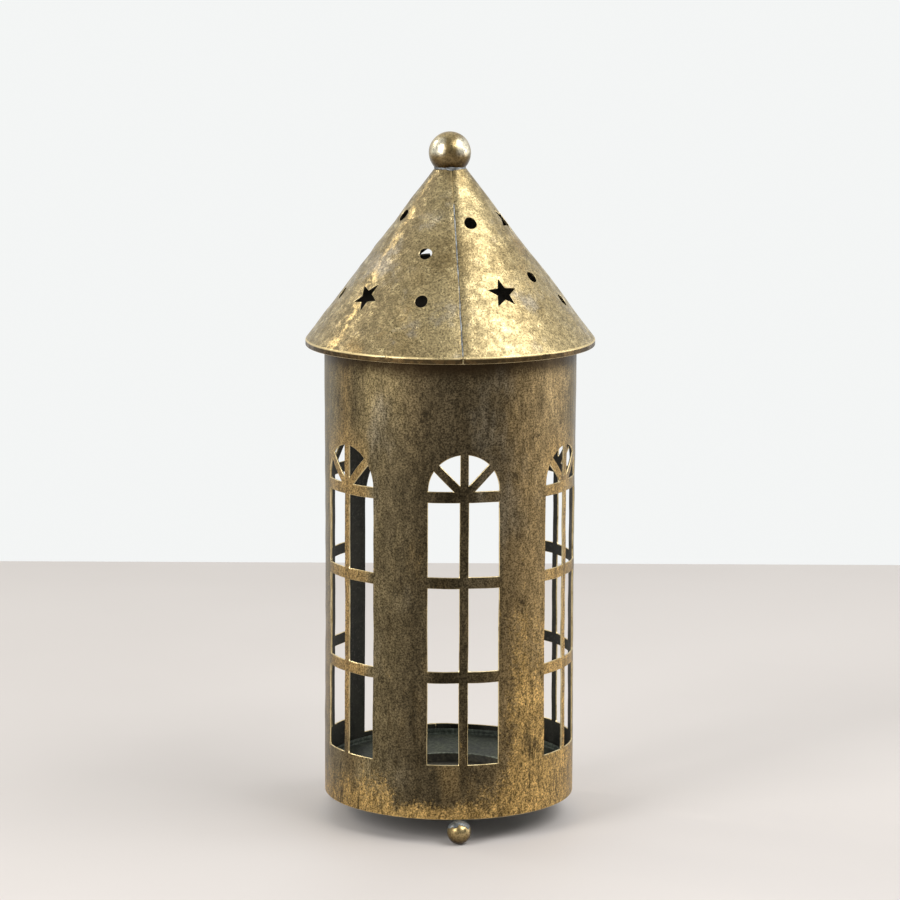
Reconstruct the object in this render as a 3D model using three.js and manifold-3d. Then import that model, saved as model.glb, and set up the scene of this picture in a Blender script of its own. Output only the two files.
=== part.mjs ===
// A round pierced sheet-brass candle lantern: a drum with five arched lattice windows and one open
// doorway, a conical roof with round and star piercings, a ball finial and three ball feet.
// Millimetres, +Z up, the origin on the table under the axis. The front window faces -Y.
// Angles are bearings round the axis: 0 faces -Y and they grow towards +X.
import * as THREE from 'three';
import { mergeVertices } from 'three/addons/utils/BufferGeometryUtils.js';
import Module from 'manifold-3d';

const wasm = await Module();
wasm.setup();

const DEG = Math.PI / 180;
const GAP = 0.3;

// Feet: solid balls with a small worn flat, under the wall's edge.
const FOOT_BALL_RADIUS = 5.7;
const FOOT_CENTRE_HEIGHT = 5.6;
const FOOT_RING_RADIUS = 59.6;
const FOOT_BEARINGS = { front: -1.5, right: 118.5, left: -121.5 };

// Drum: one rolled sheet, its lattice sawn out of the sheet itself.
const SHEET = 0.8;
const BODY_RADIUS = 60;
const BODY_BOTTOM = 11.6;
const BODY_HEIGHT = 229.1;
const BODY_SEGMENTS = 72;

// Windows, sawn by eye and so not quite alike: [bearing, half width, mullion width].
// The heights are above the drum's bottom edge.
const WINDOWS = [
  [0.2, 17, 4.4],
  [58.8, 17.1, 3.7],
  [112.9, 18, 4.4],
  [-60.2, 18, 3.8],
  [-113.4, 17, 4.4],
];
const WINDOW_SILL = 26.2;
const WINDOW_SPRING = 155.4;
const CROSS_BARS = [[65.1, 70.6], [109.8, 115.2], [150.1, 155.4]];
const FAN_HUB = 153.2;
const FAN_RAY_WIDTH = 4;
const FAN_RAY_ANGLES = [45, 90, 135];
const FAN_RAY_LENGTH = 26;

// Doorway: an open arch at the back, as tall as the windows.
const DOOR_BEARING = 180;
const DOOR_HALF_WIDTH = 40.4;
const DOOR_SILL = 17;
const DOOR_SPRING = 131.8;

// Base plate: a pressed disc with an upturned flange, a collar that slopes down from the wall and
// a sunk round candle seat in the middle. The levels are above the drum's bottom edge.
const FLOOR_LEVEL = 12;
const SEAT_RIM_LEVEL = 8.9;
const SEAT_LEVEL = 5;
const SEAT_RADIUS = 31.4;
const SEAT_RIM_RADIUS = 32;
const FLANGE_TOP = 14.6;
const FLANGE_BEND = 0.7;
const PLATE_RADIUS = BODY_RADIUS - SHEET - GAP;
const PLATE_SEGMENTS = 48;

// Roof: a cone whose radius grows by ROOF_SLOPE per millimetre below its virtual apex.
const ROOF_SLOPE = 0.76;
const ROOF_APEX = BODY_BOTTOM + 310.1;
const ROOF_SEGMENTS = 60;
const ROOF_TOP_SLANT = 12.4;
const ROOF_SIN = ROOF_SLOPE / Math.hypot(1, ROOF_SLOPE);
const ROOF_COS = 1 / Math.hypot(1, ROOF_SLOPE);

// Eave: the sheet is turned down into a narrow upright skirt.
const SKIRT_RADIUS = 69;
const SKIRT_BOTTOM = BODY_BOTTOM + 216.8;
const EAVE_BEND = 1;
const EAVE_BEND_LEVEL = BODY_BOTTOM + 218.97;
const EAVE_STEPS = 3;

// Piercings: [bearing, distance down the slope from the virtual apex], and the turn of a star.
const HOLE_RADIUS = 3.1;
const STAR_TIP_RADIUS = 7.8;
const STAR_NOTCH_RADIUS = 3.4;
const ROUND_HOLES = [
  [-75.6, 39],
  [15.3, 42.1],
  [135, 42],
  [-165, 42],
  [-25.3, 58.4],
  [53, 73.6],
  [115, 60],
  [-108, 62],
  [-21.5, 83.9],
  [72, 89],
  [136, 84],
  [-155, 84],
  [-86.5, 85.4],
];
const STARS = [
  [76.5, 42.8, -30],
  [-56.8, 83.8, 26],
  [23.9, 80.3, 0],
  [104, 80, 14],
  [170, 84, -8],
  [-126, 80, 20],
  [-175, 66, 38],
];

// Finial: a ball let into the open tip of the cone.
const FINIAL_RADIUS = 10;
const FINIAL_LEVEL = BODY_BOTTOM + 307.4;

// Solder.
const ROOF_SEAM_BEARING = -1.5;
const SEAM_BEAD_WIDTH = 1.7;
const SEAM_BEAD_HEIGHT = 0.6;
const TACK_RADIUS = 3.6;
const ROOF_TACK_BEARINGS = [32.7, 118, -118, -32.7];
const BASE_TACK_BEARINGS = [60, 180, -60];

const BRASS_DRUM = { color: 0x6b5a38, roughness: 0.46, metalness: 0.9 };
const BRASS_ROOF = { color: 0x8c7648, roughness: 0.4, metalness: 0.9 };
const BRASS_BALL = { color: 0x97804c, roughness: 0.3, metalness: 0.95 };
const BRASS_PLATE = { color: 0x4c4a38, roughness: 0.6, metalness: 0.8 };
const SOLDER = { color: 0x9a9c9a, roughness: 0.45, metalness: 0.9 };

// Merges the corners, drops the slivers at a pole and hands the closed shape to the solid modeller.
function toSolid(geometry) {
  const bare = geometry.clone();
  bare.deleteAttribute('normal');
  bare.deleteAttribute('uv');
  const merged = mergeVertices(bare, 1e-4);
  const index = merged.index.array;
  const kept = [];
  for (let i = 0; i < index.length; i += 3) {
    const a = index[i];
    const b = index[i + 1];
    const c = index[i + 2];
    if (a !== b && b !== c && c !== a) {
      kept.push(a, b, c);
    }
  }
  const mesh = new wasm.Mesh({
    numProp: 3,
    vertProperties: new Float32Array(merged.attributes.position.array),
    triVerts: new Uint32Array(kept),
  });
  return new wasm.Manifold(mesh);
}

function toGeometry(solid) {
  const mesh = solid.getMesh();
  const geometry = new THREE.BufferGeometry();
  geometry.setAttribute('position', new THREE.BufferAttribute(new Float32Array(mesh.vertProperties), 3));
  geometry.setIndex(new THREE.BufferAttribute(new Uint32Array(mesh.triVerts), 1));
  geometry.computeVertexNormals();
  return geometry;
}

// Turns a profile of [radius, height] points, listed counter-clockwise, about the Z axis.
// A profile that doesn't touch the axis is a ring and is closed on itself.
function turned(profile, segments) {
  const points = profile.map(([r, z]) => new THREE.Vector2(r, z));
  if (profile[0][0] > 0) {
    points.push(points[0].clone());
  }
  const geometry = new THREE.LatheGeometry(points, segments);
  geometry.rotateX(90 * DEG);
  return toSolid(geometry);
}

function circlePoints(radius, count) {
  const points = [];
  for (let i = 0; i < count; i += 1) {
    const angle = (i / count) * 2 * Math.PI;
    points.push([radius * Math.cos(angle), radius * Math.sin(angle)]);
  }
  return points;
}

function polygonShape(points) {
  return new THREE.Shape(points.map(([x, y]) => new THREE.Vector2(x, y)));
}

// A ball profile, cut flat where it stands below the given height.
function ballProfile(radius, centre, floor, steps) {
  const start = Math.asin(Math.max(-1, (floor - centre) / radius));
  const points = [[0, Math.max(floor, centre - radius)]];
  for (let i = 0; i <= steps; i += 1) {
    const angle = start + (i / steps) * (Math.PI / 2 - start);
    const r = radius * Math.cos(angle);
    if (r > 0.01) {
      points.push([r, centre + radius * Math.sin(angle)]);
    }
  }
  points.push([0, centre + radius]);
  return points;
}

function atBearing(solid, bearing) {
  return solid.rotate([0, 0, bearing]);
}

function onRing(solid, radius, bearing) {
  return solid.translate([radius * Math.sin(bearing * DEG), -radius * Math.cos(bearing * DEG), 0]);
}

// ---- drum ----

// A flat plate across the opening: x runs round the drum, y is height, z points out of the wall.
function flatPlate(shape, depthIn, depthOut) {
  const geometry = new THREE.ExtrudeGeometry(shape, { depth: depthIn + depthOut, bevelEnabled: false });
  geometry.translate(0, 0, -depthIn);
  return toSolid(geometry);
}

function archShape(halfWidth, sill, spring, steps) {
  const points = [[-halfWidth, sill], [halfWidth, sill]];
  for (let i = 0; i <= steps; i += 1) {
    const angle = (i / steps) * Math.PI;
    points.push([halfWidth * Math.cos(angle), spring + halfWidth * Math.sin(angle)]);
  }
  return polygonShape(points);
}

function barPlate(x, y, width, height, turn = 0) {
  const geometry = new THREE.BoxGeometry(width, height, 40);
  if (turn !== 0) {
    geometry.translate(width / 2, 0, 0);
    geometry.rotateZ(turn * DEG);
  }
  geometry.translate(x, y, 0);
  return toSolid(geometry);
}

// Bends a flat plate round the drum, so widths along the wall stay true.
function bentRound(plate, bearing) {
  return plate.warp((v) => {
    const angle = v[0] / BODY_RADIUS + bearing * DEG;
    const radius = BODY_RADIUS + v[2];
    v[0] = radius * Math.sin(angle);
    const height = v[1];
    v[1] = -radius * Math.cos(angle);
    v[2] = height + BODY_BOTTOM;
  });
}

// The ten panes of one window: the arch less the mullion, the cross bars and the fan's rays.
function windowPanes(halfWidth, mullionWidth) {
  let panes = flatPlate(archShape(halfWidth, WINDOW_SILL, WINDOW_SPRING, 20), 8, 6);
  for (const [low, high] of CROSS_BARS) {
    panes = panes.subtract(barPlate(0, (low + high) / 2, 60, high - low));
  }
  const mullionHeight = FAN_HUB - WINDOW_SILL + 10;
  panes = panes.subtract(barPlate(0, FAN_HUB - mullionHeight / 2, mullionWidth, mullionHeight));
  for (const angle of FAN_RAY_ANGLES) {
    panes = panes.subtract(barPlate(0, FAN_HUB, FAN_RAY_LENGTH, FAN_RAY_WIDTH, angle));
  }
  return panes;
}

function bodyShell() {
  const top = BODY_BOTTOM + BODY_HEIGHT;
  const inside = BODY_RADIUS - SHEET;
  const wall = [[inside, BODY_BOTTOM], [BODY_RADIUS, BODY_BOTTOM], [BODY_RADIUS, top], [inside, top]];
  let shell = turned(wall, BODY_SEGMENTS);
  for (const [bearing, halfWidth, mullionWidth] of WINDOWS) {
    shell = shell.subtract(bentRound(windowPanes(halfWidth, mullionWidth), bearing));
  }
  const door = flatPlate(archShape(DOOR_HALF_WIDTH, DOOR_SILL, DOOR_SPRING, 28), 12, 30);
  return shell.subtract(bentRound(door, DOOR_BEARING));
}

// ---- solder beads and tacks ----

function beadShape() {
  const half = SEAM_BEAD_WIDTH / 2;
  const points = [[-half, 0], [half, 0]];
  for (let i = 1; i < 6; i += 1) {
    const angle = (i / 6) * Math.PI;
    points.push([half * Math.cos(angle), SEAM_BEAD_HEIGHT * Math.sin(angle)]);
  }
  return polygonShape(points);
}

// An upright bead on the outside of the drum, between two heights above its bottom edge.
function wallBead(low, high, bearing) {
  const geometry = new THREE.ExtrudeGeometry(beadShape(), { depth: high - low, bevelEnabled: false });
  geometry.rotateZ(180 * DEG);
  geometry.translate(0, -(BODY_RADIUS + GAP), BODY_BOTTOM + low);
  return atBearing(toSolid(geometry), bearing);
}

// Hollow left for the tacks inside the roof: as wide as the drum, and under the cone's inner face.
function roofHollow() {
  const inside = BODY_RADIUS - SHEET - GAP;
  const coneInside = (z) => ROOF_SLOPE * (ROOF_APEX - z) - (SHEET + GAP) / ROOF_COS;
  const low = BODY_BOTTOM + 200;
  const high = BODY_BOTTOM + 245;
  const bend = ROOF_APEX - (inside + (SHEET + GAP) / ROOF_COS) / ROOF_SLOPE;
  return turned([[0, low], [inside, low], [inside, bend], [coneInside(high), high], [0, high]], 48);
}

function roofTack(bearing) {
  const ball = new THREE.SphereGeometry(TACK_RADIUS, 12, 8);
  ball.rotateX(90 * DEG);
  const inside = BODY_RADIUS - SHEET - GAP;
  const blob = toSolid(ball).translate([0, 0, BODY_BOTTOM + BODY_HEIGHT + 0.6]);
  return onRing(blob, inside, bearing).intersect(roofHollow());
}

// A tack on the underside of the base plate, in the corner between the plate and the wall.
function baseTack(bearing) {
  const ball = new THREE.SphereGeometry(TACK_RADIUS, 12, 8);
  ball.rotateX(90 * DEG);
  const underside = BODY_BOTTOM + FLOOR_LEVEL - SHEET - GAP;
  const rimUnderside = BODY_BOTTOM + SEAT_RIM_LEVEL - SHEET - GAP;
  const hollow = turned(
    [
      [0, underside - 9],
      [PLATE_RADIUS, underside - 9],
      [PLATE_RADIUS, underside],
      [PLATE_RADIUS - FLANGE_BEND, underside],
      [SEAT_RIM_RADIUS, rimUnderside],
      [0, rimUnderside],
    ],
    48,
  );
  return onRing(toSolid(ball).translate([0, 0, underside]), PLATE_RADIUS, bearing).intersect(hollow);
}

// ---- base plate ----

function basePlate() {
  const floor = BODY_BOTTOM + FLOOR_LEVEL;
  const rim = BODY_BOTTOM + SEAT_RIM_LEVEL;
  const seat = BODY_BOTTOM + SEAT_LEVEL;
  const flangeTop = BODY_BOTTOM + FLANGE_TOP;
  const profile = [
    [0, seat - SHEET],
    [SEAT_RADIUS + SHEET, seat - SHEET],
    [SEAT_RIM_RADIUS + SHEET, rim - SHEET],
    [PLATE_RADIUS - FLANGE_BEND, floor - SHEET],
    [PLATE_RADIUS, floor - SHEET + FLANGE_BEND],
    [PLATE_RADIUS, flangeTop],
    [PLATE_RADIUS - SHEET, flangeTop],
    [PLATE_RADIUS - SHEET, floor + FLANGE_BEND],
    [PLATE_RADIUS - SHEET - FLANGE_BEND, floor],
    [SEAT_RIM_RADIUS, rim],
    [SEAT_RADIUS, seat],
    [0, seat],
  ];
  return turned(profile, PLATE_SEGMENTS);
}

// ---- feet ----

function footBall(bearing) {
  const ball = turned(ballProfile(FOOT_BALL_RADIUS, FOOT_CENTRE_HEIGHT, 0, 8), 20);
  return onRing(ball, FOOT_RING_RADIUS, bearing);
}

// A ring of solder round the top of a foot, under the wall's edge.
function footSolder(bearing) {
  const inner = [];
  for (let i = 0; i <= 4; i += 1) {
    const angle = (70 - i * 9.5) * DEG;
    const reach = FOOT_BALL_RADIUS + GAP;
    inner.push([reach * Math.cos(angle), FOOT_CENTRE_HEIGHT + reach * Math.sin(angle)]);
  }
  const outer = [[5.35, 8.8], [5.5, 9.3], [4.6, 10.6], [3.4, 11.3]];
  return onRing(turned([...outer, ...inner], 24), FOOT_RING_RADIUS, bearing);
}

// ---- roof ----

function coneRadius(slant) {
  return slant * ROOF_SIN;
}

function coneHeight(slant) {
  return ROOF_APEX - slant * ROOF_COS;
}

// Stands a cutter or bead on the cone: x along the eave, y up the slope, z straight out of the sheet.
function onCone(solid, bearing, slant) {
  const tilt = 90 - Math.atan(ROOF_SLOPE) / DEG;
  const upright = solid.rotate([tilt, 0, 0]).translate([0, -coneRadius(slant), coneHeight(slant)]);
  return atBearing(upright, bearing);
}

function starShape(turn) {
  const points = [];
  for (let i = 0; i < 10; i += 1) {
    const radius = i % 2 === 0 ? STAR_TIP_RADIUS : STAR_NOTCH_RADIUS;
    const angle = (90 - turn + i * 36) * DEG;
    points.push([radius * Math.cos(angle), radius * Math.sin(angle)]);
  }
  return polygonShape(points);
}

// The cone's sheet, bent at the eave into the skirt.
function roofProfile() {
  const start = Math.atan2(ROOF_SIN, ROOF_COS);
  const middle = SKIRT_RADIUS - EAVE_BEND;
  const outer = [[SKIRT_RADIUS, SKIRT_BOTTOM]];
  const inner = [[SKIRT_RADIUS - SHEET, SKIRT_BOTTOM]];
  for (let i = 0; i <= EAVE_STEPS; i += 1) {
    const angle = (i / EAVE_STEPS) * start;
    outer.push([middle + EAVE_BEND * Math.cos(angle), EAVE_BEND_LEVEL + EAVE_BEND * Math.sin(angle)]);
    const bore = EAVE_BEND - SHEET;
    inner.push([middle + bore * Math.cos(angle), EAVE_BEND_LEVEL + bore * Math.sin(angle)]);
  }
  const tip = [coneRadius(ROOF_TOP_SLANT), coneHeight(ROOF_TOP_SLANT)];
  const tipInside = [tip[0] - SHEET * ROOF_COS, tip[1] - SHEET * ROOF_SIN];
  return [...outer, tip, tipInside, ...inner.reverse()];
}

function roofCone() {
  let cone = turned(roofProfile(), ROOF_SEGMENTS);
  const round = flatPlate(polygonShape(circlePoints(HOLE_RADIUS, 16)), 6, 6);
  for (const [bearing, slant] of ROUND_HOLES) {
    cone = cone.subtract(onCone(round, bearing, slant));
  }
  for (const [bearing, slant, turn] of STARS) {
    cone = cone.subtract(onCone(flatPlate(starShape(turn), 6, 6), bearing, slant));
  }
  return cone;
}

function roofSeam() {
  const from = 17.2;
  const to = 112.6;
  const geometry = new THREE.ExtrudeGeometry(beadShape(), { depth: to - from, bevelEnabled: false });
  geometry.rotateX(90 * DEG);
  const bead = toSolid(geometry).translate([0, 0, GAP]);
  return onCone(bead, ROOF_SEAM_BEARING, from);
}

// ---- finial ----

function finialSolder() {
  const apexDrop = ROOF_APEX - FINIAL_LEVEL;
  const toCone = apexDrop * ROOF_SIN + GAP;
  const reach = Math.sqrt((FINIAL_RADIUS + GAP) ** 2 - toCone ** 2);
  const onSlope = (along) => [
    toCone * ROOF_COS + along * ROOF_SIN,
    FINIAL_LEVEL + toCone * ROOF_SIN - along * ROOF_COS,
  ];
  const onBall = (angle) => [
    (FINIAL_RADIUS + GAP) * Math.cos(angle * DEG),
    FINIAL_LEVEL + (FINIAL_RADIUS + GAP) * Math.sin(angle * DEG),
  ];
  const fillet = [8.3, FINIAL_LEVEL - 7];
  const profile = [onSlope(reach + 0.05), onSlope(reach + 1.3), fillet, onBall(-36.5), onBall(-40)];
  return turned(profile, 32);
}

// ---- assembly ----

const lantern = new THREE.Group();
lantern.name = 'moroccan_metal_lantern';

function addPiece(name, solid, look) {
  const mesh = new THREE.Mesh(toGeometry(solid), new THREE.MeshStandardMaterial(look));
  mesh.name = name;
  lantern.add(mesh);
}

addPiece('body_shell', bodyShell(), BRASS_DRUM);
addPiece('body_seam_upper', wallBead(174.5, 227, DOOR_BEARING), SOLDER);
addPiece('body_seam_lower', wallBead(0.8, 16.4, DOOR_BEARING), SOLDER);
addPiece('base_plate', basePlate(), BRASS_PLATE);
BASE_TACK_BEARINGS.forEach((bearing, i) => addPiece(`base_tack_${i + 1}`, baseTack(bearing), SOLDER));
for (const [side, bearing] of Object.entries(FOOT_BEARINGS)) {
  addPiece(`foot_ball_${side}`, footBall(bearing), BRASS_BALL);
  addPiece(`foot_solder_${side}`, footSolder(bearing), SOLDER);
}
addPiece('roof_cone', roofCone(), BRASS_ROOF);
addPiece('roof_seam_solder', roofSeam(), SOLDER);
ROOF_TACK_BEARINGS.forEach((bearing, i) => addPiece(`roof_tack_${i + 1}`, roofTack(bearing), SOLDER));
addPiece('finial_ball', turned(ballProfile(FINIAL_RADIUS, FINIAL_LEVEL, 0, 14), 28), BRASS_BALL);
addPiece('finial_solder', finialSolder(), SOLDER);

export default lantern;
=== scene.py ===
import bpy
import math
import numpy as np
from mathutils import Matrix, Vector
from mathutils.geometry import delaunay_2d_cdt
from mathutils.kdtree import KDTree


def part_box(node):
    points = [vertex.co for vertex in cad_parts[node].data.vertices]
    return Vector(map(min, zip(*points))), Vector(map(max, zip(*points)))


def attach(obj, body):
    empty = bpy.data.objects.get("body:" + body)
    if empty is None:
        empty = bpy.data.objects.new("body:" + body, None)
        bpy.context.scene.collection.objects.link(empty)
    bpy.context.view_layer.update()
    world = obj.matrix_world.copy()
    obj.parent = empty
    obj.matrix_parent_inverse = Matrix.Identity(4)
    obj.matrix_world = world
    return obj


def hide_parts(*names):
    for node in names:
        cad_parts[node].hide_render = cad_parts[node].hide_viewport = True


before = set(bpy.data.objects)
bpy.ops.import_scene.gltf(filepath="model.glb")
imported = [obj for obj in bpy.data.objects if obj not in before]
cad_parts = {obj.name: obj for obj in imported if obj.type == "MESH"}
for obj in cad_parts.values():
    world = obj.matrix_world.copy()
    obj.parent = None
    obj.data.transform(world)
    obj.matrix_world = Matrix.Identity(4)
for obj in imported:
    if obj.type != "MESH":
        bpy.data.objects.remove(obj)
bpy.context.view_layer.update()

# Lengths are in millimetres until a mesh is made. Bearings are degrees round the axis: 0 faces -Y, growing
# towards +X. Heights named here are above the drum's bottom edge, and slants are down the cone from its apex.
MM = 0.001
BODY_LOW, BODY_HIGH = [v / MM for v in (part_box("body_shell")[0].z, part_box("body_shell")[1].z)]
BODY_R = 60.0
SHEET = 0.76
WALL_CHAMFER, ROOF_CHAMFER = 0.21, 0.15
# Windows: bearing, half width and half the mullion's width.
WINDOWS = ((0.2, 17.0, 2.2), (58.8, 17.1, 1.85), (112.9, 18.0, 2.2), (-60.2, 18.0, 1.9), (-113.4, 17.0, 2.2))
SILL, SPRING = 26.2, 155.4
BARS = ((65.1, 70.6), (109.8, 115.2), (150.1, 155.4))
HUB, RAY_HALF = 153.2, 2.0
DOOR_HALF, DOOR_SILL, DOOR_SPRING = 40.4, 17.0, 131.8
DRUM_TOP = BODY_HIGH - BODY_LOW - 1.7
WALL_LAP = 3.4

ROOF_SLOPE = 0.76
ROOF_APEX = BODY_LOW + 310.1
ROOF_SIN = ROOF_SLOPE / math.hypot(1, ROOF_SLOPE)
ROOF_COS = 1 / math.hypot(1, ROOF_SLOPE)
ROOF_TOP = 12.4
# The eave: the sheet is bent down, by EAVE_START radians, into an upright skirt.
SKIRT_R, SKIRT_LOW, EAVE_BEND = 68.85, BODY_LOW + 216.85, 1.0
EAVE_START = math.atan2(ROOF_SIN, ROOF_COS)
EAVE_R = SKIRT_R - EAVE_BEND
ROOF_EDGE = (EAVE_R + EAVE_BEND * ROOF_COS) / ROOF_SIN
EAVE_Z = ROOF_APEX - ROOF_EDGE * ROOF_COS - EAVE_BEND * ROOF_SIN
SKIRT_START = ROOF_EDGE + EAVE_BEND * EAVE_START
SKIRT_END = SKIRT_START + EAVE_Z - SKIRT_LOW
SEAM = -1.5
HOLE_R, STAR_TIP, STAR_NOTCH = 3.1, 7.8, 3.4
HOLES = ((-75.6, 39.0), (15.3, 42.1), (135, 42), (-165, 42), (-25.3, 58.4), (53.0, 73.6),
         (115, 60), (-108, 62), (-21.5, 83.9), (72.0, 89.0), (136, 84), (-155, 84), (-86.5, 85.4))
STARS = ((76.5, 42.8, -30), (-56.8, 83.8, 26), (23.9, 80.3, 0), (104, 80, 14), (170, 84, -8), (-126, 80, 20),
         (-175, 66, 38))
# The roof sits slightly askew on the drum, and the finial a touch to the left on the roof.
TILT_SIDE, TILT_FORWARD = math.radians(-0.32), math.radians(0.95)
TILT_PIVOT = np.array([0, 0, BODY_LOW + 217.0])
ROOF_SHIFT, FINIAL_SHIFT = np.array([-0.12, 0, 0]), np.array([-0.25, 0, 0])
CAMERA_HEADING = math.radians(6.265)


# ---------------------------------------------------------------- mesh tools

def wave(x, y, lengths, seed):
    """Smooth unevenness between about -1 and 1: a sum of plane waves with the given lengths."""
    rng = np.random.default_rng(seed)
    total = np.zeros_like(x, dtype=float)
    for length in lengths:
        turn = rng.uniform(0, math.pi)
        phase = rng.uniform(0, 2 * math.pi)
        total += np.sin(2 * math.pi * (x * math.cos(turn) + y * math.sin(turn)) / length + phase)
    return total / len(lengths) ** 0.5 / 1.4


def smooth(value, low, high):
    t = np.clip((np.asarray(value, dtype=float) - low) / (high - low), 0, 1)
    return t * t * (3 - 2 * t)


def sampled(points, step, closed=True):
    """The polyline with extra points, so that none of its edges is longer than step."""
    out = []
    count = len(points) if closed else len(points) - 1
    for i in range(count):
        a = np.array(points[i], dtype=float)
        b = np.array(points[(i + 1) % len(points)], dtype=float)
        parts = max(1, int(math.ceil(np.linalg.norm(b - a) / step)))
        out.extend(a + (b - a) * k / parts for k in range(parts))
    if not closed:
        out.append(np.array(points[-1], dtype=float))
    return np.array(out)


def within(points, loop):
    """Which of the points lie inside the closed loop."""
    hit = np.zeros(len(points), dtype=bool)
    low, high = loop.min(axis=0), loop.max(axis=0)
    near = np.where(np.all((points >= low) & (points <= high), axis=1))[0]
    if len(near) == 0:
        return hit
    x, y = points[near, 0], points[near, 1]
    inside = np.zeros(len(near), dtype=bool)
    for a, b in zip(loop, np.roll(loop, -1, axis=0)):
        if a[1] == b[1]:
            continue
        crosses = (a[1] > y) != (b[1] > y)
        inside ^= crosses & (x < (b[0] - a[0]) * (y - a[1]) / (b[1] - a[1]) + a[0])
    hit[near] = inside
    return hit


def cut_sheet(outline, holes, fill):
    """Triangles of a flat sheet with holes. fill is the interior points wanted.
    Returns the flat points, the triangles and the directed rim edges."""
    loops = [outline] + holes
    rim = np.vstack(loops)
    edges = []
    start = 0
    for loop in loops:
        edges += [(start + i, start + (i + 1) % len(loop)) for i in range(len(loop))]
        start += len(loop)
    tree = KDTree(len(rim))
    for i, p in enumerate(rim):
        tree.insert((p[0], p[1], 0), i)
    tree.balance()
    keep = within(fill, outline)
    for hole in holes:
        keep &= ~within(fill, hole)
    inner = [p for p in fill[keep] if tree.find((p[0], p[1], 0))[2] > 0.7]
    points = [Vector((float(p[0]), float(p[1]))) for group in (rim, inner) for p in group]
    flat, _, faces, _, _, _ = delaunay_2d_cdt(points, edges, [], 0, 1e-5)
    flat = np.array([(p.x, p.y) for p in flat])
    faces = np.array(faces)
    middle = flat[faces].mean(axis=1)
    good = within(middle, outline)
    for hole in holes:
        good &= ~within(middle, hole)
    faces = faces[good]
    a, b, c = flat[faces[:, 0]], flat[faces[:, 1]], flat[faces[:, 2]]
    area = (b[:, 0] - a[:, 0]) * (c[:, 1] - a[:, 1]) - (b[:, 1] - a[:, 1]) * (c[:, 0] - a[:, 0])
    faces = faces[np.abs(area) > 1e-9]
    area = area[np.abs(area) > 1e-9]
    faces[area < 0] = faces[area < 0][:, ::-1]
    directed = {}
    for f in faces:
        for i in range(3):
            directed[(int(f[i]), int(f[(i + 1) % 3]))] = True
    border = [e for e in directed if (e[1], e[0]) not in directed]
    used = np.unique(faces)
    renumber = -np.ones(len(flat), dtype=int)
    renumber[used] = np.arange(len(used))
    return flat[used], renumber[faces], [(int(renumber[a]), int(renumber[b])) for a, b in border]


def facing_out(verts, faces):
    """The faces of a closed body, wound so that they face out of it."""
    volume = 0.0
    for face in faces:
        fan = verts[list(face)]
        volume += sum(np.dot(fan[0], np.cross(fan[i], fan[i + 1])) for i in range(1, len(fan) - 1))
    return faces if volume > 0 else [tuple(face[::-1]) for face in faces]


def new_object(name, verts, faces, materials, material_index=None):
    verts = np.asarray(verts, dtype=float)
    mesh = bpy.data.meshes.new(name)
    mesh.from_pydata([tuple(v) for v in verts * MM], [], facing_out(verts, faces))
    mesh.validate(verbose=False)
    mesh.polygons.foreach_set("use_smooth", [True] * len(mesh.polygons))
    for material in materials:
        mesh.materials.append(material)
    if material_index is not None:
        mesh.polygons.foreach_set("material_index", material_index)
    mesh.update()
    piece = bpy.data.objects.new(name, mesh)
    bpy.context.collection.objects.link(piece)
    return piece


def inward_at_rim(flat, border):
    """For every rim point, the step into the sheet that moves both of its edges in by one millimetre."""
    step = np.zeros_like(flat)
    sides = {}
    for a, b in border:
        along = flat[b] - flat[a]
        along = along / np.linalg.norm(along)
        for i in (a, b):
            sides.setdefault(i, []).append(np.array([-along[1], along[0]]))
    for i, normals in sides.items():
        middle = sum(normals)
        middle = middle / max(1e-6, np.linalg.norm(middle))
        step[i] = middle / max(0.5, float(np.dot(middle, normals[0])))
    return step


def bent_sheet(name, flat, faces, border, place, marks, chamfer, materials):
    """Gives the flat sheet its thickness, its chamfered edges and its bent shape.
    place(points, depth) puts it in space and marks(points) holds a value painted on its points.
    The materials are those of the outside, the inside, the chamfers and the cut edges."""
    count = len(flat)
    rim = sorted({i for edge in border for i in edge})
    row = {vertex: i for i, vertex in enumerate(rim)}
    drawn_in = flat + chamfer * inward_at_rim(flat, border)
    verts = np.vstack([place(drawn_in, 0.0), place(drawn_in, SHEET), place(flat[rim], chamfer),
                       place(flat[rim], SHEET - chamfer)])
    upper, lower = 2 * count, 2 * count + len(rim)
    polygons = [tuple(int(i) for i in f) for f in faces]
    polygons += [tuple(int(i) + count for i in f[::-1]) for f in faces]
    index = [0] * len(faces) + [1] * len(faces)
    for a, b in border:
        ra, rb = row[a], row[b]
        polygons.append((b, a, upper + ra, upper + rb))
        polygons.append((upper + rb, upper + ra, lower + ra, lower + rb))
        polygons.append((lower + rb, lower + ra, a + count, b + count))
        index += [2, 3, 2]
    piece = new_object(name, verts, polygons, materials, index)
    mesh = piece.data
    sharp = {tuple(sorted(e)) for e in border} | {tuple(sorted((a + count, b + count))) for a, b in border}
    for a, b in border:
        sharp.add(tuple(sorted((upper + row[a], upper + row[b]))))
        sharp.add(tuple(sorted((lower + row[a], lower + row[b]))))
    mesh.edges.foreach_set("use_edge_sharp", [tuple(sorted(e.vertices)) in sharp for e in mesh.edges])
    # Rim points are marked for lighter edges: partly rubbing, partly painted edge highlight.
    rim_wear_and_highlight = mesh.attributes.new("rim_wear_and_highlight", "FLOAT", "POINT")
    at_rim = np.zeros(len(verts))
    at_rim[rim] = 1
    at_rim[[i + count for i in rim]] = 1
    at_rim[2 * count:] = 1
    rim_wear_and_highlight.data.foreach_set("value", at_rim)
    mark = mesh.attributes.new("mark", "FLOAT", "POINT")
    values = [marks(flat), marks(flat), marks(flat[rim]), marks(flat[rim])]
    mark.data.foreach_set("value", np.concatenate(values))
    return piece


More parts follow.
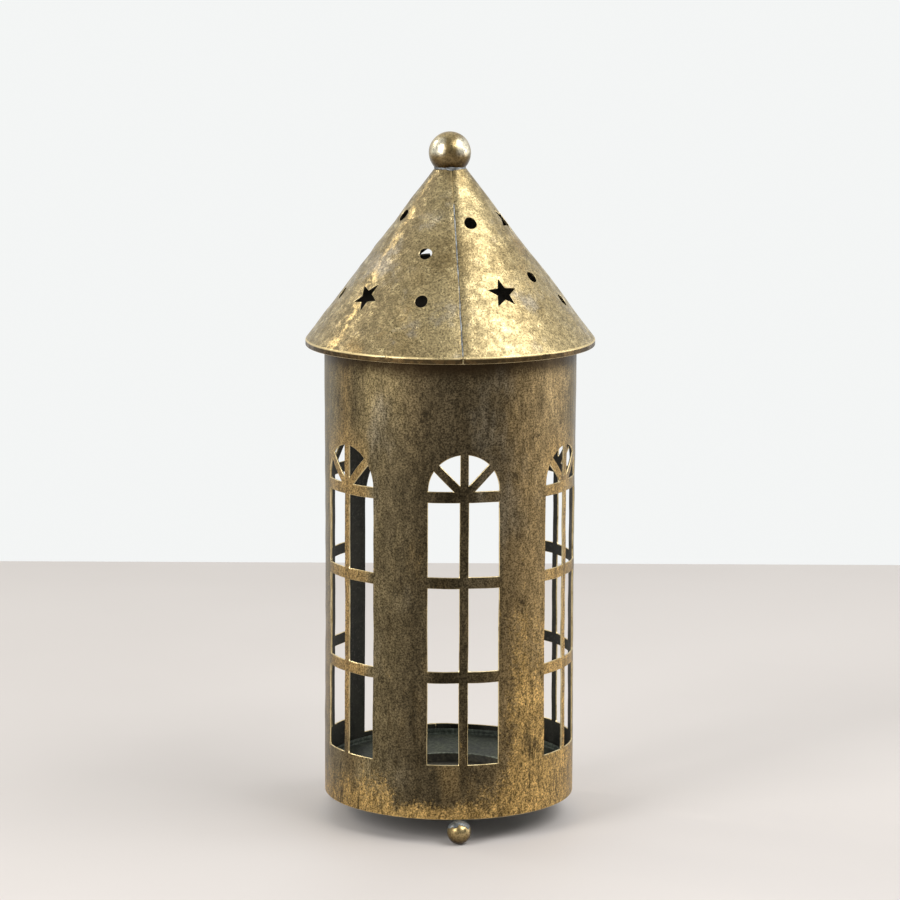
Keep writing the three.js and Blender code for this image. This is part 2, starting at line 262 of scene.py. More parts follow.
def turned(name, section, segments, materials, centre=(0, 0)):
    """A closed turned piece. section(bearing) gives its [radius, height] points, in order round the cut."""
    bearings = np.linspace(0, 2 * math.pi, segments, endpoint=False)
    sections = np.array([section(float(b)) for b in bearings], dtype=float)
    on_axis = np.all(sections[:, :, 0] < 1e-6, axis=0)
    verts, rows = [], []
    for i in range(sections.shape[1]):
        if on_axis[i]:
            rows.append([len(verts)] * segments)
            verts.append((centre[0], centre[1], sections[:, i, 1].mean()))
            continue
        rows.append(list(range(len(verts), len(verts) + segments)))
        for b, (r, z) in zip(bearings, sections[:, i]):
            verts.append((centre[0] + r * math.sin(b), centre[1] - r * math.cos(b), z))
    faces = []
    for i in range(len(rows) - 1 if on_axis.any() else len(rows)):
        low, high = rows[i], rows[(i + 1) % len(rows)]
        for k in range(segments):
            n = (k + 1) % segments
            corners = [low[k], low[n], high[n], high[k]]
            face = tuple(v for j, v in enumerate(corners) if v not in corners[:j])
            if len(face) > 2:
                faces.append(face)
    return new_object(name, verts, faces, materials)


def arc(centre, radius, first, last, count):
    """Profile points on an arc, from one angle to another in degrees."""
    angles = np.radians(np.linspace(first, last, count))
    return [(centre[0] + radius * math.cos(a), centre[1] + radius * math.sin(a)) for a in angles]


# ---------------------------------------------------------------- materials

class Look:
    """A metallic material under construction: a few nodes at a time."""

    def __init__(self, name, metallic, roughness):
        self.material = bpy.data.materials.new(name)
        self.material.use_nodes = True
        self.tree = self.material.node_tree
        self.shader = self.tree.nodes["Principled BSDF"]
        self.shader.inputs["Metallic"].default_value = metallic
        self.shader.inputs["Roughness"].default_value = roughness
        self.place = self.node("ShaderNodeTexCoord").outputs["Object"]

    def node(self, kind, **settings):
        made = self.tree.nodes.new(kind)
        for key, value in settings.items():
            setattr(made, key, value)
        return made

    def wire(self, source, socket):
        if hasattr(source, "is_output"):
            self.tree.links.new(source, socket)
        else:
            socket.default_value = source

    def noise(self, scale, detail=4.0, rough=0.55, stretch=(1, 1, 1), shift=0.0, distortion=0.0):
        tex = self.node("ShaderNodeTexNoise")
        mapping = self.node("ShaderNodeMapping")
        self.wire(self.place, mapping.inputs["Vector"])
        mapping.inputs["Scale"].default_value = stretch
        mapping.inputs["Location"].default_value = (shift, shift * 0.7, shift * 1.3)
        self.wire(mapping.outputs[0], tex.inputs["Vector"])
        tex.inputs["Scale"].default_value = scale
        tex.inputs["Detail"].default_value = detail
        tex.inputs["Roughness"].default_value = rough
        tex.inputs["Distortion"].default_value = distortion
        return tex.outputs["Fac"]

    def ramp(self, value, stops):
        """A colour or grey ramp from (position, colour) stops."""
        made = self.node("ShaderNodeValToRGB")
        elements = made.color_ramp.elements
        while len(elements) < len(stops):
            elements.new(0.5)
        for element, (position, colour) in zip(elements, stops):
            element.position = position
            element.color = (*colour, 1) if isinstance(colour, tuple) else (colour, colour, colour, 1)
        self.wire(value, made.inputs[0])
        return made.outputs[0]

    def span(self, value, low, high, to_low=0.0, to_high=1.0):
        made = self.node("ShaderNodeMapRange")
        made.interpolation_type = "SMOOTHSTEP"
        self.wire(value, made.inputs[0])
        made.inputs[1].default_value = low
        made.inputs[2].default_value = high
        made.inputs[3].default_value = to_low
        made.inputs[4].default_value = to_high
        return made.outputs[0]

    def math(self, operation, a, b=0.0):
        made = self.node("ShaderNodeMath", operation=operation)
        self.wire(a, made.inputs[0])
        self.wire(b, made.inputs[1])
        return made.outputs[0]

    def mix(self, factor, a, b, blend="MIX"):
        made = self.node("ShaderNodeMix", data_type="RGBA", blend_type=blend)
        self.wire(factor, made.inputs[0])
        self.wire(a if hasattr(a, "is_output") else (*a, 1), made.inputs[6])
        self.wire(b if hasattr(b, "is_output") else (*b, 1), made.inputs[7])
        return made.outputs[2]

    def attribute(self, name):
        return self.node("ShaderNodeAttribute", attribute_name=name).outputs["Fac"]

    def bearing(self):
        """0 to 1 round the axis: 0.5 faces -Y and +X is at 0.75."""
        split = self.node("ShaderNodeSeparateXYZ")
        self.wire(self.place, split.inputs[0])
        minus_y = self.math("MULTIPLY", split.outputs[1], -1.0)
        angle = self.math("ARCTAN2", split.outputs[0], minus_y)
        return self.math("ADD", self.math("MULTIPLY", angle, 0.5 / math.pi), 0.5)

    def height(self):
        split = self.node("ShaderNodeSeparateXYZ")
        self.wire(self.place, split.inputs[0])
        return split.outputs[2]

    def radius(self):
        split = self.node("ShaderNodeSeparateXYZ")
        self.wire(self.place, split.inputs[0])
        x, y, _ = split.outputs
        return self.math("SQRT", self.math("ADD", self.math("MULTIPLY", x, x), self.math("MULTIPLY", y, y)))

    def scaled(self, colour, factor):
        """The colour made lighter or darker by a grey factor."""
        return self.mix(1.0, colour, factor, "MULTIPLY")

    def bump(self, height, distance, strength=1.0, under=None):
        made = self.node("ShaderNodeBump")
        self.wire(height, made.inputs["Height"])
        made.inputs["Distance"].default_value = distance
        made.inputs["Strength"].default_value = strength
        if under is not None:
            self.wire(under, made.inputs["Normal"])
        return made.outputs[0]

    def finish(self, colour, roughness, normal):
        self.wire(colour, self.shader.inputs["Base Color"])
        self.wire(roughness, self.shader.inputs["Roughness"])
        self.wire(normal, self.shader.inputs["Normal"])
        return self.material


GOLD = (0.445, 0.295, 0.106)
WARM = (0.235, 0.163, 0.070)
PALE = (0.275, 0.213, 0.105)
OLIVE = (0.185, 0.142, 0.071)
TAN = (0.170, 0.120, 0.056)
BROWN = (0.122, 0.092, 0.048)
DARK = (0.090, 0.070, 0.040)
BLOT = (0.026, 0.020, 0.012)
ASH = (0.225, 0.198, 0.145)


def drum_brass():
    look = Look("drum_brass", 1.0, 0.42)
    around = look.bearing()
    warp = look.noise(14, 3, stretch=(1, 1, 0.5))
    around = look.math("ADD", around, look.math("MULTIPLY", look.math("SUBTRACT", warp, 0.5), 0.05))
    # Colour changes round the drum by bearing: partly patina, partly painted reflections of the lights,
    # lighter to either side of the front and dark in front.
    tone = look.ramp(around, (
        (0.00, BROWN), (0.12, OLIVE), (0.22, BROWN), (0.27, OLIVE), (0.31, OLIVE), (0.335, WARM),
        (0.352, OLIVE), (0.372, PALE), (0.390, PALE), (0.408, OLIVE), (0.43, BROWN), (0.48, DARK),
        (0.525, BROWN), (0.57, TAN), (0.60, WARM), (0.64, TAN), (0.67, OLIVE),
        (0.74, BROWN), (0.87, WARM), (1.00, BROWN)))
    # The left-hand pillar is painted darker, from the windows' arches down: painted shade.
    left = look.ramp(around, ((0.355, 0.0), (0.38, 1.0), (0.50, 1.0), (0.54, 0.5), (0.56, 0.0)))
    low = look.span(look.height(), 0.165, 0.215, 1.0, 0.0)
    left_low_shade = look.math("MULTIPLY", look.math("MULTIPLY", left, low), 0.66)
    tone = look.mix(left_low_shade, tone, (0.055, 0.044, 0.025))
    # The right-hand pillar is painted lighter and warmer, most strongly above: painted highlight.
    right = look.ramp(around, ((0.545, 0.0), (0.575, 1.0), (0.65, 1.0), (0.68, 0.3)))
    upper = look.math("SUBTRACT", 0.8, look.math("MULTIPLY", low, 0.45))
    tone = look.mix(look.math("MULTIPLY", right, upper), tone, (0.29, 0.212, 0.105))
    streak = look.noise(70, 5, 0.6, stretch=(1, 1, 0.16), shift=3.1)
    colour = look.mix(look.span(streak, 0.44, 0.68, 0.0, 0.55), tone, DARK)
    high = look.span(look.height(), 0.12, 0.20, 0.35, 1.0)
    haze = look.noise(30, 4, 0.62, stretch=(1, 1, 0.45), shift=9.7)
    colour = look.mix(look.math("MULTIPLY", look.span(haze, 0.50, 0.70, 0.0, 0.65), high), colour, ASH)
    bloom = look.noise(33, 4, 0.6, stretch=(1, 1, 0.35), shift=17.2)
    colour = look.mix(look.span(bloom, 0.56, 0.74, 0.0, 0.6), colour, WARM)
    # Golden metal near the bottom edge from rubbing, and up the right-hand pillar as partly painted
    # highlight, scored with dark streaks.
    grain = look.noise(820, 4, 0.75, stretch=(1, 1, 0.9), shift=5.5)
    patch = look.noise(46, 5, 0.68, stretch=(1, 1, 0.45), shift=1.7)
    near_foot = look.span(look.height(), 0.013, 0.046, 1.0, 0.0)
    near_edge = look.span(look.height(), 0.013, 0.025, 0.85, 0.0)
    right_pillar_highlight = look.ramp(around, ((0.545, 0.0), (0.585, 0.85), (0.66, 0.85), (0.70, 0.4)))
    left_side = look.ramp(around, (
        (0.30, 0.55), (0.34, 0.9), (0.40, 0.75), (0.43, 0.2), (0.51, 0.05), (0.54, 0.8)))
    low_down = look.span(look.height(), 0.03, 0.17, 1.0, 0.10)
    wear_and_highlight = look.math("MULTIPLY", right_pillar_highlight, low_down)
    lowest = look.math("MAXIMUM", look.math("MULTIPLY", near_foot, left_side), near_edge)
    wear_and_highlight = look.math("ADD", wear_and_highlight, lowest)
    # Sheet edges are painted more golden: partly rubbing, partly painted edge highlight.
    wear_and_highlight = look.math("ADD", wear_and_highlight, look.math("MULTIPLY", look.attribute("rim_wear_and_highlight"), 0.25))
    wear_and_highlight = look.math("ADD", wear_and_highlight, look.math("MULTIPLY", look.math("SUBTRACT", patch, 0.5), 1.9))
    wear_and_highlight = look.math("ADD", wear_and_highlight, look.math("MULTIPLY", look.math("SUBTRACT", grain, 0.5), 1.9))
    gold = look.span(wear_and_highlight, 0.38, 0.90)
    colour = look.mix(gold, colour, GOLD)
    score = look.noise(210, 5, 0.7, stretch=(1, 1, 0.18), shift=13.0)
    scored = look.math("MULTIPLY", look.span(score, 0.55, 0.66, 0.0, 0.85), low_down)
    colour = look.mix(scored, colour, (0.060, 0.044, 0.022))
    freckle = look.noise(640, 4, 0.8, stretch=(1, 1, 0.75), shift=20.2)
    freckled = look.math("MULTIPLY", look.span(freckle, 0.50, 0.60, 0.0, 0.8), gold)
    colour = look.mix(freckled, colour, (0.105, 0.075, 0.035))
    # The side windows' bars are painted golden, a painted highlight, and the front one's dark, a painted
    # shade.
    lattice = look.span(look.height(), 0.040, 0.060)
    sides = look.ramp(around, ((0.28, 0.0), (0.30, 1.0), (0.36, 1.0), (0.372, 0.0),
                               (0.61, 0.0), (0.63, 1.0), (0.70, 1.0), (0.715, 0.0)))
    bars = look.math("MULTIPLY", look.math("MULTIPLY", sides, lattice),
                     look.span(look.height(), 0.17, 0.20, 0.55, 0.0))
    colour = look.mix(bars, colour, (0.46, 0.30, 0.110))
    front = look.ramp(around, ((0.452, 0.0), (0.462, 1.0), (0.482, 1.0), (0.494, 0.0)))
    front_bar_shade = look.math("MULTIPLY", look.math("MULTIPLY", front, lattice),
                          look.span(look.height(), 0.165, 0.175, 0.6, 0.0))
    colour = look.mix(front_bar_shade, colour, (0.022, 0.017, 0.009))
    # Grain all over: fine dark specks, upright scratches and broader clouds.
    speck = look.noise(1250, 3, 0.72, shift=8.8)
    colour = look.scaled(colour, look.span(speck, 0.36, 0.64, 0.42, 1.62))
    scratch = look.noise(420, 4, 0.7, stretch=(1, 1, 0.3), shift=4.4)
    colour = look.scaled(colour, look.span(scratch, 0.34, 0.66, 0.76, 1.26))
    cloud = look.noise(95, 5, 0.68, stretch=(1, 1, 0.6), shift=15.1)
    colour = look.scaled(colour, look.span(cloud, 0.34, 0.66, 0.84, 1.15))
    blot = look.noise(190, 5, 0.75, stretch=(1, 1, 0.7), shift=2.2)
    colour = look.mix(look.span(blot, 0.58, 0.68, 0.0, 0.7), colour, BLOT)
    # Painted shadow on the wall just under the eave, dark brown, with a ragged lower edge.
    ragged = look.math("ADD", look.height(), look.math("MULTIPLY", look.math("SUBTRACT", cloud, 0.5), 0.012))
    colour = look.mix(look.span(ragged, 0.2165, 0.2255, 0.0, 0.9), colour, (0.034, 0.021, 0.010))
    rough = look.span(streak, 0.3, 0.7, 0.36, 0.50)
    rough = look.math("ADD", rough, look.math("MULTIPLY", look.math("SUBTRACT", speck, 0.5), 0.40))
    fine = look.bump(speck, 0.00013, 0.6)
    normal = look.bump(look.noise(90, 4, 0.6, shift=6.0), 0.0006, 0.35, fine)
    return look.finish(colour, rough, normal)


def roof_brass():
    look = Look("roof_brass", 1.0, 0.38)
    around = look.bearing()
    base = look.ramp(look.noise(24, 5, 0.6, shift=4.0), (
        (0.30, (0.33, 0.245, 0.112)), (0.45, (0.49, 0.380, 0.190)),
        (0.58, (0.57, 0.452, 0.234)), (0.72, (0.42, 0.33, 0.162))))
    # The roof is painted darker by bearing, most on its left side: painted shade.
    side = look.ramp(around, (
        (0.0, 0.35), (0.20, 0.4), (0.28, 0.65), (0.37, 0.9), (0.43, 0.25), (0.46, 0.15), (0.494, 0.0),
        (0.497, 0.0), (0.60, 0.05), (0.68, 0.3), (0.85, 0.2), (1.0, 0.35)))
    colour = look.mix(side, base, (0.235, 0.185, 0.10))
    mottle = look.noise(230, 5, 0.74, shift=1.1)
    colour = look.scaled(colour, look.span(mottle, 0.36, 0.60, 0.68, 1.12))
    colour = look.mix(look.span(mottle, 0.54, 0.68, 0.0, 0.6), colour, (0.80, 0.645, 0.34))
    # A narrow flecked golden streak down the roof's left side: painted highlight.
    highlight_streak = look.ramp(around, ((0.321, 0.0), (0.329, 1.0), (0.338, 1.0), (0.347, 0.0)))
    flecked_highlight = look.math("MULTIPLY", highlight_streak, look.span(mottle, 0.46, 0.60, 0.0, 0.75))
    colour = look.mix(flecked_highlight, colour, (0.80, 0.58, 0.25))
    haze = look.noise(48, 5, 0.65, shift=12.0)
    colour = look.mix(look.span(haze, 0.54, 0.70, 0.0, 0.5), colour, (0.40, 0.37, 0.32))
    bloom = look.noise(36, 5, 0.65, shift=21.0)
    colour = look.mix(look.span(bloom, 0.56, 0.72, 0.0, 0.4), colour, (0.52, 0.34, 0.13))
    speck = look.noise(1200, 3, 0.72, shift=7.7)
    colour = look.scaled(colour, look.span(speck, 0.36, 0.62, 0.55, 1.26))
    pit = look.noise(520, 4, 0.75, shift=18.7)
    colour = look.mix(look.span(pit, 0.58, 0.68, 0.0, 0.55), colour, (0.10, 0.08, 0.04))
    # The crease of the eave is painted bright, a painted highlight, and the skirt under it a dark orange
    # brown, partly painted shade.
    mark = look.attribute("mark")
    colour = look.mix(look.span(mark, 0.15, 0.9, 0.0, 0.65), colour, (0.88, 0.70, 0.36))
    skirt = look.mix(look.span(mottle, 0.44, 0.60), (0.032, 0.019, 0.009), (0.100, 0.058, 0.023))
    colour = look.mix(look.span(mark, 1.1, 1.5, 0.0, 0.95), colour, skirt)
    rough = look.span(mottle, 0.3, 0.7, 0.50, 0.28)
    rough = look.math("ADD", rough, look.math("MULTIPLY", look.math("SUBTRACT", speck, 0.5), 0.4))
    fine = look.bump(speck, 0.00016, 0.7)
    mid = look.bump(mottle, 0.00045, 0.55, fine)
    normal = look.bump(look.noise(75, 3, 0.5, shift=6.5), 0.0012, 0.45, mid)
    return look.finish(colour, rough, normal)


def inner_patina(name, light, dark):
    look = Look(name, 0.75, 0.6)
    cloud = look.noise(60, 5, 0.65, shift=3.0)
    grit = look.noise(700, 3, 0.7, shift=8.0)
    colour = look.mix(look.span(cloud, 0.35, 0.68), dark, light)
    colour = look.mix(look.span(grit, 0.52, 0.70, 0.0, 0.45), colour, tuple(c * 2.0 for c in light))
    rough = look.span(cloud, 0.3, 0.7, 0.5, 0.72)
    normal = look.bump(grit, 0.00012, 0.6)
    return look.finish(colour, rough, normal)


def plate_patina_and_painted_light():
    """Grey-green on the collar, lighter towards the rim of the seat, with a painted highlight on that rim;
    dark and browner inside the seat, darkest towards its wall, where the dark is painted shade.
    """
    look = Look("plate_patina_and_painted_light", 0.6, 0.55)
    cloud = look.noise(85, 5, 0.7, shift=3.0)
    grit = look.noise(620, 3, 0.7, shift=8.0)
    radius = look.radius()
    collar = look.mix(look.span(radius, 0.034, 0.054), (0.058, 0.063, 0.040), (0.040, 0.045, 0.031))
    colour = look.mix(look.span(radius, 0.0564, 0.0574), collar, (0.056, 0.066, 0.050))
    # A light line on the seat's rim: painted highlight.
    rim = look.math("MULTIPLY", look.span(radius, 0.0319, 0.0321),
                    look.span(radius, 0.0326, 0.0331, 1.0, 0.0))
    colour = look.mix(look.math("MULTIPLY", rim, 0.7), colour, (0.20, 0.215, 0.17))
    # The seat goes darker towards its wall: painted shade.
    seat = look.mix(look.span(radius, 0.012, 0.030), (0.095, 0.082, 0.047), (0.034, 0.030, 0.019))
    colour = look.mix(look.span(look.height(), 0.0199, 0.0203, 1.0, 0.0), colour, seat)
    colour = look.scaled(colour, look.span(cloud, 0.36, 0.64, 0.50, 1.40))
    colour = look.scaled(colour, look.span(grit, 0.36, 0.64, 0.62, 1.50))
    return look.finish(colour, look.span(cloud, 0.3, 0.7, 0.48, 0.66), look.bump(grit, 0.00012, 0.6))


def cut_brass():
    # Sheet edges and chamfers are a light bare-brass colour: partly bare metal, partly painted edge
    # highlight.
    look = Look("cut_brass", 1.0, 0.28)
    cloud = look.noise(140, 4, 0.7, shift=2.0)
    colour = look.ramp(cloud, (
        (0.33, (0.36, 0.27, 0.13)), (0.46, (0.66, 0.53, 0.28)), (0.64, (0.82, 0.68, 0.40))))
    rough = look.span(cloud, 0.3, 0.7, 0.46, 0.34)
    return look.finish(colour, rough, look.bump(look.noise(900, 2), 0.0001, 0.4))


def ball_brass(name, level, radius, dull, tone, highlight_amount):
    """Polished brass gone brown, on a ball of this level and radius in metres, painted darkest on its
    underside as painted shade.

    dull is the roughness of its smoothest places.
    tone lightens or darkens it, and the last argument sets the strength of painted highlights on its sides.
    """
    look = Look(name, 1.0, 0.28)
    cloud = look.noise(120, 5, 0.65, shift=5.0)
    grit = look.noise(950, 3, 0.7, shift=3.3)
    colour = look.ramp(cloud, (
        (0.32, (0.24, 0.168, 0.07)), (0.48, (0.44, 0.322, 0.145)), (0.66, (0.62, 0.48, 0.24))))
    # Painted shade: darker towards the underside.
    under = look.span(look.height(), level - radius * 0.7, level + radius * 0.55, 0.90, 0.0)
    colour = look.mix(under, colour, (0.060, 0.037, 0.017))
    # Painted highlights: white-gold on the ball's two sides, in a belt above its middle.
    sides = look.ramp(look.bearing(), ((0.29, 0.0), (0.35, 1.0), (0.41, 1.0), (0.45, 0.0),
                                       (0.51, 0.0), (0.55, 1.0), (0.63, 1.0), (0.68, 0.0)))
    belt = look.math("MULTIPLY", look.span(look.height(), level - radius * 0.2, level + radius * 0.15),
                     look.span(look.height(), level + radius * 0.55, level + radius * 0.85, 1.0, 0.0))
    bright = look.math("MULTIPLY", look.math("MULTIPLY", sides, belt), highlight_amount)
    colour = look.mix(bright, colour, (0.97, 0.90, 0.70))
    colour = look.scaled(colour, look.span(grit, 0.34, 0.60, 0.55 * tone, 1.15 * tone))
    rough = look.span(cloud, 0.32, 0.68, dull + 0.13, dull)
    mid = look.bump(cloud, 0.0004, 0.35)
    return look.finish(colour, rough, look.bump(grit, 0.00008, 0.4, mid))


def solder_grey(name, tint):
    look = Look(name, 0.9, 0.5)
    cloud = look.noise(350, 4, 0.65, shift=1.5)
    grit = look.noise(1400, 3, 0.7, shift=9.0)
    colour = look.mix(look.span(cloud, 0.36, 0.6), tuple(c * 0.35 for c in tint), tint)
    colour = look.mix(look.span(grit, 0.55, 0.7, 0.0, 0.4), colour, (0.24, 0.18, 0.10))
    rough = look.span(cloud, 0.3, 0.7, 0.62, 0.42)
    return look.finish(colour, rough, look.bump(cloud, 0.0003, 0.6))


DRUM = drum_brass()
ROOF = roof_brass()
INSIDE = inner_patina("inside_patina", (0.056, 0.054, 0.042), (0.015, 0.015, 0.011))
ROOF_INSIDE = inner_patina("roof_inside_patina", (0.035, 0.032, 0.024), (0.010, 0.009, 0.007))
PLATE = plate_patina_and_painted_light()
CUT = cut_brass()
FINIAL = ball_brass("finial_brass", 0.319, 0.010, 0.25, 0.85, 0.9)
BALL = ball_brass("ball_brass", 0.0056, 0.0057, 0.24, 1.0, 0.0)
SOLDER = solder_grey("solder_grey", (0.52, 0.55, 0.56))
BLUE_SOLDER = solder_grey("solder_bluish", (0.315, 0.335, 0.345))


# ---------------------------------------------------------------- drum

def window_openings(pane_half, mullion_half):
    """The ten panes of a window, in flat (across, height) coordinates about its middle."""
    panes = []
    levels = [SILL] + [v for bar in BARS for v in bar][:-1]
    for low, high in zip(levels[0::2], levels[1::2]):
        for side in (-1, 1):
            xs = sorted((side * mullion_half, side * pane_half))
            panes.append([(xs[0], low), (xs[1], low), (xs[1], high), (xs[0], high)])
    diagonal = RAY_HALF * math.sqrt(2)
    above, below = HUB + diagonal, HUB - diagonal

    def arch_angle(level):
        """Where the fan's slanting ray, whose edge starts at this level on the axis, meets the arch."""
        drop = level - SPRING
        across = (-drop + math.sqrt(2 * pane_half ** 2 - drop ** 2)) / 2
        return math.degrees(math.atan2(across + drop, across))

    top = math.degrees(math.acos(RAY_HALF / pane_half))
    for side in (-1, 1):
        pane = [(RAY_HALF, RAY_HALF + above)] + arc((0, SPRING), pane_half, arch_angle(above), top, 9)
        panes.append([(side * x, z) for x, z in pane])
        pane = [(SPRING - below, SPRING)] + arc((0, SPRING), pane_half, 0, arch_angle(below), 8)
        panes.append([(side * x, z) for x, z in pane])
    return panes


def body_place(points, depth):
    u, z = points[:, 0], points[:, 1]
    # The sawn bars wander a little, in the sheet and out of it.
    lattice = smooth(z, 20, 40) * (1 - smooth(z, 172, 186)) * (1 - smooth(np.abs(u), 135, 150))
    u = u + 0.12 * lattice * wave(u, z, (23, 31, 47), 3)
    z_new = z + 0.11 * lattice * wave(u, z, (19, 29, 41), 4)
    bearing = u / BODY_R
    turn = np.degrees(bearing)
    radius = BODY_R - 0.06 - depth
    radius = radius - 0.40 * smooth(z, 18, 90) * (1 - smooth(z, 120, 215))
    radius = radius + 0.10 * smooth(z, 14, 30) * (1 - smooth(z, 200, 222)) * wave(u, z, (37, 61, 88, 26), 5)
    radius = radius + 0.09 * lattice * wave(u, z, (17, 27), 6)
    radius = radius + 0.75 * smooth(turn, 170, 175)
    return np.column_stack([radius * np.sin(bearing), -radius * np.cos(bearing), BODY_LOW + z_new])


def make_drum():
    half_turn = math.pi * BODY_R
    left, right = -half_turn, half_turn + WALL_LAP
    # Down one side of the doorway, from its crown to its sill, seen from that end of the sheet.
    jamb = arc((0, DOOR_SPRING), DOOR_HALF, 90, 180, 34) + [(-DOOR_HALF, DOOR_SILL)]
    right_jamb = [(half_turn + x, z) for x, z in jamb][::-1]
    left_jamb = [(-half_turn - x, z) for x, z in jamb]
    over = arc((half_turn, DOOR_SPRING), DOOR_HALF, 90, 85.2, 4)[1:]
    outline = [(left, 0), (right, 0), (right, DOOR_SILL)] + right_jamb + over
    outline += [(over[-1][0], DRUM_TOP), (left, DRUM_TOP)] + left_jamb + [(left, DOOR_SILL)]
    outline = sampled(outline, 1.5)
    holes = []
    for bearing, pane_half, mullion_half in WINDOWS:
        middle = math.radians(bearing) * BODY_R
        for pane in window_openings(pane_half, mullion_half):
            holes.append(sampled([(middle + x, z) for x, z in pane], 1.3))
    step = 2.0
    rows = np.arange(step / 2, DRUM_TOP, step * 0.866)
    columns = np.arange(left + 1, right, step)
    fill = np.array([(x + (i % 2) * step / 2, z) for i, z in enumerate(rows) for x in columns])
    flat, faces, border = cut_sheet(outline, holes, fill)
    return bent_sheet("drum", flat, faces, border, body_place, lambda p: np.zeros(len(p)), WALL_CHAMFER,
                      (DRUM, INSIDE, CUT, CUT))


# ---------------------------------------------------------------- roof

def tilted(points):
    c, s = math.cos(TILT_SIDE), math.sin(TILT_SIDE)
    turn = np.array([[c, 0, s], [0, 1, 0], [-s, 0, c]])
    c, s = math.cos(TILT_FORWARD), math.sin(TILT_FORWARD)
    turn = np.array([[1, 0, 0], [0, c, -s], [0, s, c]]) @ turn
    return (np.asarray(points) - TILT_PIVOT) @ turn.T + TILT_PIVOT + ROOF_SHIFT


def roof_point(bearing, slant, lift):
    """A point on the roof: bearing in degrees, slant down from the virtual apex, lift out of the sheet."""
    roll = EAVE_START - np.clip(slant - ROOF_EDGE, 0, EAVE_BEND * EAVE_START) / EAVE_BEND
    bent = slant > ROOF_EDGE
    r = np.where(bent, EAVE_R + (EAVE_BEND + lift) * np.cos(roll), slant * ROOF_SIN + lift * ROOF_COS)
    on_cone = ROOF_APEX - slant * ROOF_COS + lift * ROOF_SIN
    z = np.where(bent, EAVE_Z + (EAVE_BEND + lift) * np.sin(roll), on_cone)
    z = z - np.maximum(slant - SKIRT_START, 0)
    angle = np.radians(bearing)
    return tilted(np.column_stack([r * np.sin(angle), -r * np.cos(angle), z]))


# Marks on the eave's bend: bearing, radius and height.
EAVE_MARKS = ((-31.3, 0.9, -0.4), (34.0, 1.2, 0.4))
LAP = 3.2


def lap_edge(slant):
    """How far, in degrees, the inner end of the sheet runs under the outer one, down to none at the eave."""
    return LAP - (LAP + 0.25) * smooth(slant, 96, 108)


def roof_lift(turn, slant, x, y):
    """Dents, and the dip of the end that is lapped under the other. turn is 0 opposite the seam."""
    dents = 0.26 * wave(x, y, (34, 52, 23, 71), 11) + 0.10 * wave(x, y, (11, 14, 9), 12)
    dents = dents * smooth(slant, 14, 40) * (1 - smooth(slant, 98, 111)) - 0.1
    for bearing, radius, height in EAVE_MARKS:
        along = ((turn + 180 + SEAM - bearing + 180) % 360 - 180) * math.pi / 180 * SKIRT_R
        away = np.hypot(along, slant - (ROOF_EDGE + SKIRT_START) / 2)
        dents = dents + height * (1 - smooth(away, radius * 0.3, radius))
    return dents - 0.75 * (1 - smooth(turn, -179.8, -178.2)) * (1 - smooth(slant, 104, 112))


def roof_place(points, depth):
    x, y = points[:, 0], points[:, 1]
    slant = np.hypot(x, y)
    turn = np.degrees(np.arctan2(x, y)) / ROOF_SIN
    return roof_point(turn + 180 + SEAM, slant, roof_lift(turn, slant, x, y) - depth)


def roof_marks(points):
    """0 on the cone, rising to 1 on the crease of the eave and to 2 on the skirt."""
    slant = np.hypot(points[:, 0], points[:, 1])
    crease = smooth(slant, ROOF_EDGE - 0.5, ROOF_EDGE + 0.1)
    return crease + smooth(slant, SKIRT_START - 0.1, SKIRT_START + 0.25)


def unrolled(bearing, slant):
    """Where a bearing and slant lie on the roof's flat pattern, whose ends meet at the seam."""
    turn = (bearing - SEAM) % 360 - 180
    angle = math.radians(turn * ROOF_SIN)
    return np.array([slant * math.sin(angle), slant * math.cos(angle)]), angle


